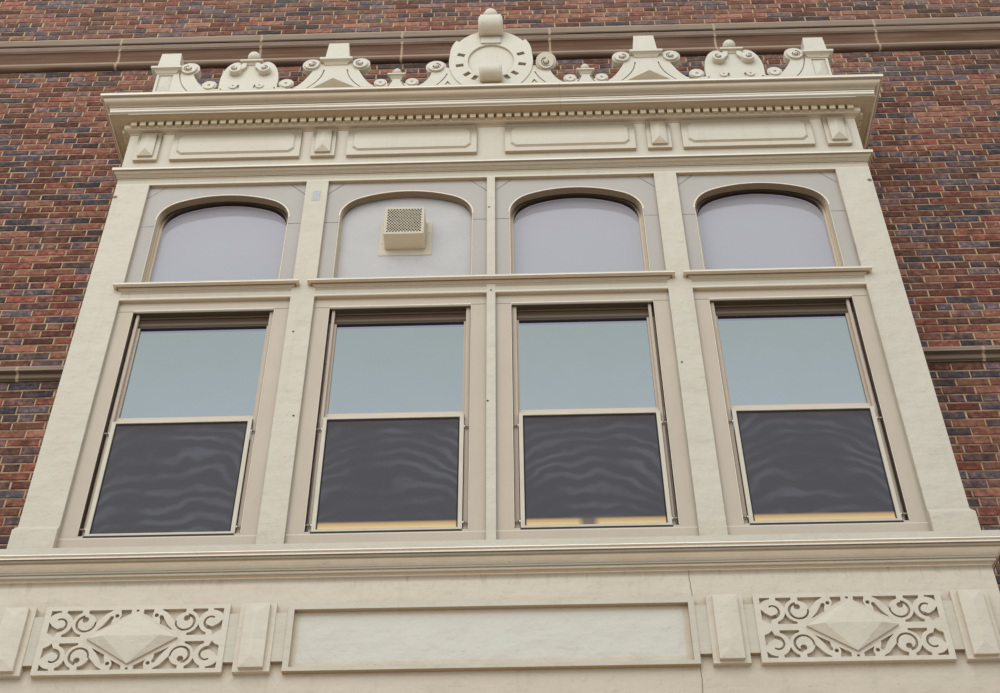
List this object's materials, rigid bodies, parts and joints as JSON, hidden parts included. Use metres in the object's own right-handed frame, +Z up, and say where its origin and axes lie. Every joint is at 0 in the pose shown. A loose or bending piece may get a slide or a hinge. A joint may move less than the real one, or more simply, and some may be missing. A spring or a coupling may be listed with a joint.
{
  "type": "school building front window bay",
  "caption": "Projecting four-light window bay of a brick school front, with scroll-panel base, transomed windows, dentil cornice and scrolled cresting.",
  "frame": {"origin": "centre of the footprint at the bottom of the wall and bay", "axes": "+Z up, -Y out of the front of the bay, +X to the right as seen from the front"},
  "size_m": [8.8, 1.064, 7.24],
  "materials": {
    "brick": "matt red and blue-grey brick with buff joints",
    "painted_stone": "carved stone under worn cream paint",
    "string_stone": "bare weathered buff stone",
    "floor_stone": "plain stone slab",
    "roof_sheet": "dull weathered roof screed",
    "painted_wood": "matt beige-grey paint",
    "window_glass": "clear window glass",
    "screen_aluminium": "dull mill finish",
    "screen_cloth": "dark woven insect cloth",
    "vent_panel": "off-white sheet",
    "vent_aluminium": "weathered sheet"
  },
  "bodies": {
    "root": {"wall_left": "brick", "wall_right": "brick", "wall_above": "brick", "lower_string_course": "string_stone", "upper_string_course": "string_stone", "base_frieze": "painted_stone", "base_band": "painted_stone", "scroll_panel_left": "painted_stone", "scroll_panel_right": "painted_stone", "long_bosses": "painted_stone", "sill_cornice": "painted_stone", "corner_pier_left": "painted_stone", "corner_pier_right": "painted_stone", "window_pier_left": "painted_stone", "window_pier_right": "painted_stone", "center_mullion": "painted_stone", "transoms": "painted_stone", "architrave": "painted_stone", "upper_frieze": "painted_stone", "frieze_panels": "painted_stone", "dentil_course": "painted_stone", "main_cornice": "painted_stone", "blocking_course": "painted_stone", "bay_roof": "roof_sheet", "bay_floor": "floor_stone", "window_frame_1": "painted_wood", "window_frame_2": "painted_wood", "window_frame_3": "painted_wood", "window_frame_4": "painted_wood", "sashes_1": "painted_wood", "sashes_2": "painted_wood", "sashes_3": "painted_wood", "sashes_4": "painted_wood", "arched_sashes": "painted_wood", "lower_glass": "window_glass", "arched_glass": "window_glass", "screen_frames": "screen_aluminium", "screen_cloth": "screen_cloth", "vent_panel": "vent_panel", "vent_hood": "vent_aluminium", "end_pedestal_left": "painted_stone", "end_pedestal_right": "painted_stone", "cartouche_left": "painted_stone", "cartouche_right": "painted_stone", "obelisk_left": "painted_stone", "obelisk_right": "painted_stone", "trefoils": "painted_stone", "center_disc": "painted_stone", "disc_console": "painted_stone"}
  },
  "joints": []
}
